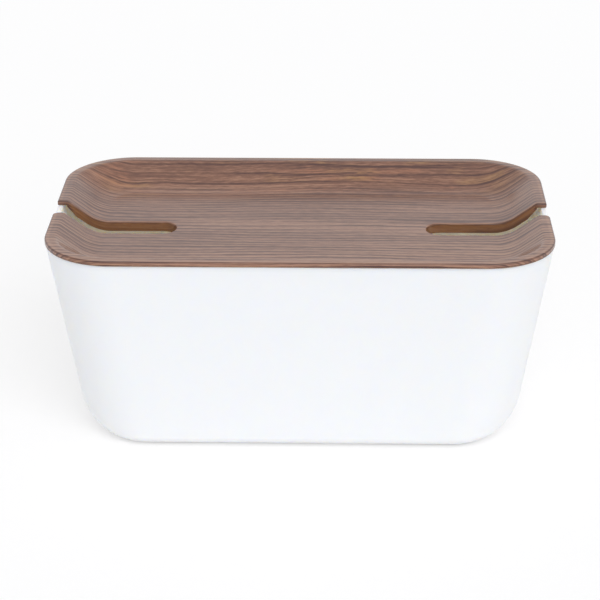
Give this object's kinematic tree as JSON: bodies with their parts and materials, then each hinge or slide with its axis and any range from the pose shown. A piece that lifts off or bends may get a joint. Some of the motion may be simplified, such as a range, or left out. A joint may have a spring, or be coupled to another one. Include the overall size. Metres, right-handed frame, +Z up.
{
  "type": "cable management box",
  "caption": "Tapered rounded box that hides a socket strip and leads, with a lift-off dished wood-look lid slotted from each end for charging cords.",
  "frame": {"origin": "middle of the footprint, on the ground plane under the feet", "axes": "+X along the box's length, +Y from the front to the back with the lead outlet, +Z up"},
  "size_m": [0.3, 0.178, 0.1286],
  "materials": {
    "white_plastic": "smooth satin moulding",
    "wood_look_plastic": "satin walnut-effect face",
    "foot_rubber": "matt rubber"
  },
  "bodies": {
    "box": {"body_shell": "white_plastic", "foot_front_left": "foot_rubber", "foot_front_right": "foot_rubber", "foot_rear_left": "foot_rubber", "foot_rear_right": "foot_rubber"},
    "lid": {"lid_tray": "wood_look_plastic"}
  },
  "joints": [
    {"name": "lid_lift", "type": "slide", "parent": "box", "child": "lid", "axis": [0, 0, 1], "range_m": [0, 0.1]}
  ]
}
